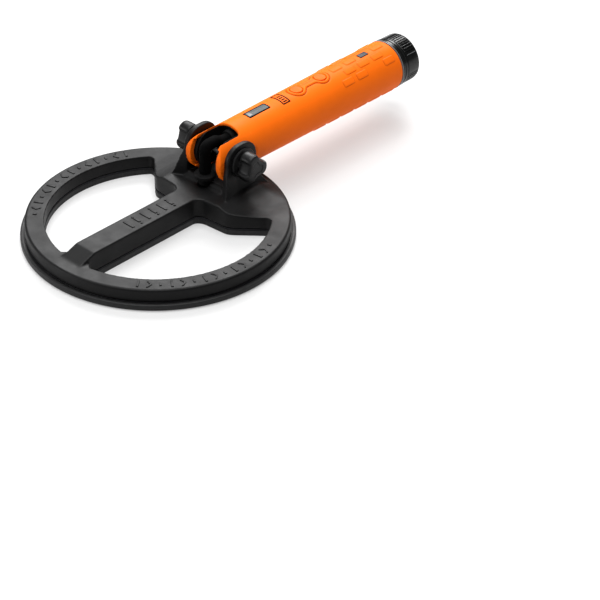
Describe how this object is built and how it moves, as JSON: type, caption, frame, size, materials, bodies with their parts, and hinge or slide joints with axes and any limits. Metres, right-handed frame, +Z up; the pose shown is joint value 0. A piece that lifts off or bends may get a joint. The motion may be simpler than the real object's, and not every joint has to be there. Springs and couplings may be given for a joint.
{
  "type": "handheld metal detector",
  "caption": "One-hand metal detector: flat round search coil with a spoke and two windows, a forked knob-clamped hinge and a round grip with display, buttons and a screw cap.",
  "frame": {"origin": "centre of the round coil, on the flat underside of its spoke", "axes": "+Z up, away from the ground; +Y from the coil's centre along the handle to its screw cap; +X to the right seen from the front"},
  "size_m": [0.2, 0.3647, 0.0622],
  "materials": {
    "shell_charcoal": "satin, finely textured",
    "cover_black": "satin",
    "seal_rubber": "matte",
    "winding_copper": "enamelled wire",
    "potting_epoxy": "cast",
    "cable_rubber": "matte moulded",
    "moulded_black": "satin",
    "knob_black": "satin, finely textured",
    "steel": "turned",
    "brass": "turned",
    "acetal_grey": "smooth",
    "grip_orange": "satin, soft touch",
    "button_orange": "soft touch",
    "board_green": "solder mask",
    "window_grey": "clear window over a grey screen",
    "module_dark": "moulded",
    "icon_dark": "printed",
    "led_white": "diffusing",
    "lens_grey": "smoked",
    "battery_sleeve": "shrink sleeve",
    "gasket_grey": "smooth",
    "cap_black": "satin, ribbed"
  },
  "bodies": {
    "coil": {"coil_upper_shell": "shell_charcoal", "coil_lower_cover": "cover_black", "coil_seal_outer": "seal_rubber", "coil_seal_inner": "seal_rubber", "search_winding": "winding_copper", "potting_ring": "potting_epoxy", "cable_gland": "moulded_black", "coil_cable": "cable_rubber", "hinge_stud": "steel", "knob_collar_left": "knob_black", "knob_collar_right": "knob_black"},
    "handle": {"handle_shell": "grip_orange", "fork_liner_left": "moulded_black", "fork_liner_right": "moulded_black", "pivot_bush_left": "acetal_grey", "pivot_bush_right": "acetal_grey", "friction_washer_left": "seal_rubber", "friction_washer_right": "seal_rubber", "bulkhead": "moulded_black", "bulkhead_seal": "seal_rubber", "cable_plug": "moulded_black", "plug_nut": "brass", "core_tube": "moulded_black", "main_board": "board_green", "display_window": "window_grey", "display_module": "module_dark", "icon_panel": "icon_dark", "indicator_leds": "led_white", "button_pad": "button_orange", "function_switch": "module_dark", "power_switch": "module_dark", "status_lens": "lens_grey", "buzzer": "moulded_black", "vibration_motor": "steel", "battery_cradle": "moulded_black", "battery": "battery_sleeve", "rear_gasket": "gasket_grey", "threaded_collar": "cap_black", "cap_oring": "seal_rubber"},
    "knob_left": {"knob_left": "knob_black", "knob_insert_left": "brass"},
    "knob_right": {"knob_right": "knob_black", "knob_insert_right": "brass"},
    "function_button": {"function_button": "button_orange"},
    "power_button": {"power_button": "button_orange"},
    "cap_carrier": {"cap_contact": "brass", "battery_spring": "steel"},
    "end_cap": {"end_cap": "cap_black"}
  },
  "joints": [
    {"name": "coil_hinge", "type": "hinge", "parent": "coil", "child": "handle", "pos_m": [0, 0.0642, 0.042], "axis": [1, 0, 0], "range_deg": [-7, 100], "deforming": ["coil_cable"]},
    {"name": "knob_left_turn", "type": "hinge", "parent": "coil", "child": "knob_left", "pos_m": [0, 0.0642, 0.042], "axis": [-1, 0, 0], "range_deg": [0, 180]},
    {"name": "knob_right_turn", "type": "hinge", "parent": "coil", "child": "knob_right", "pos_m": [0, 0.0642, 0.042], "axis": [1, 0, 0], "range_deg": [0, 180]},
    {"name": "function_press", "type": "slide", "parent": "handle", "child": "function_button", "axis": [0, 0, -1], "range_m": [0, 0.0008], "stiffness_N_per_m": 600},
    {"name": "power_press", "type": "slide", "parent": "handle", "child": "power_button", "axis": [0, 0, -1], "range_m": [0, 0.0008], "stiffness_N_per_m": 600},
    {"name": "cap_travel", "type": "slide", "parent": "handle", "child": "cap_carrier", "axis": [0, 1, 0], "range_m": [0, 0.006]},
    {"name": "cap_turn", "type": "hinge", "parent": "cap_carrier", "child": "end_cap", "pos_m": [0, 0.258, 0.042], "axis": [0, 1, 0], "range_deg": [0, 720]}
  ],
  "couplings": [
    {"joint": "cap_travel", "follows": "cap_turn", "m_per_rad": 0.000477}
  ]
}
